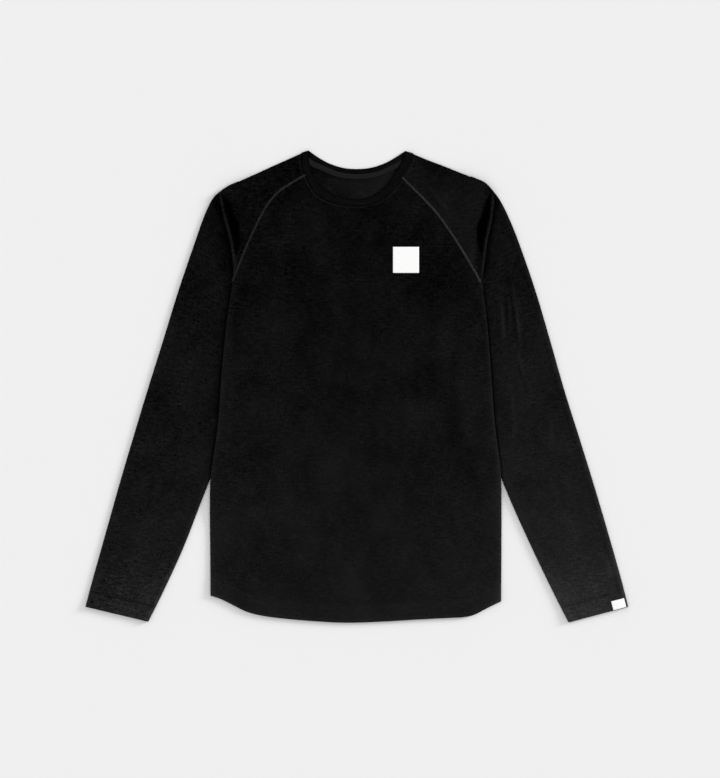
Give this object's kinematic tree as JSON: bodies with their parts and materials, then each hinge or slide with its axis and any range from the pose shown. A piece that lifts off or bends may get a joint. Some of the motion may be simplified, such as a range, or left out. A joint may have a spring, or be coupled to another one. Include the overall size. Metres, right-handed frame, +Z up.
{
  "type": "base layer top",
  "caption": "Long-sleeved raglan base layer top with a crew neck, laid flat with its front up, with a bare chest patch and a bare cuff tab.",
  "frame": {"origin": "on the surface that the top lies on, under the middle of its outline", "axes": "+X from the viewer's left cuff to the right cuff, +Y up to the neck, +Z up out of the front"},
  "size_m": [0.8134, 0.7062, 0.0099],
  "materials": {
    "knit": "matt black fine jersey knit with a faint fleck",
    "band": "matt black doubled knit",
    "tape": "smooth dark woven tape",
    "white_trim": "matt white, smooth"
  },
  "bodies": {
    "root": {"front_panel": "knit", "back_panel": "knit", "sleeve_left": "knit", "sleeve_right": "knit", "neckband": "band", "neck_tape": "tape", "chest_patch": "white_trim", "cuff_tab": "white_trim"}
  },
  "joints": []
}
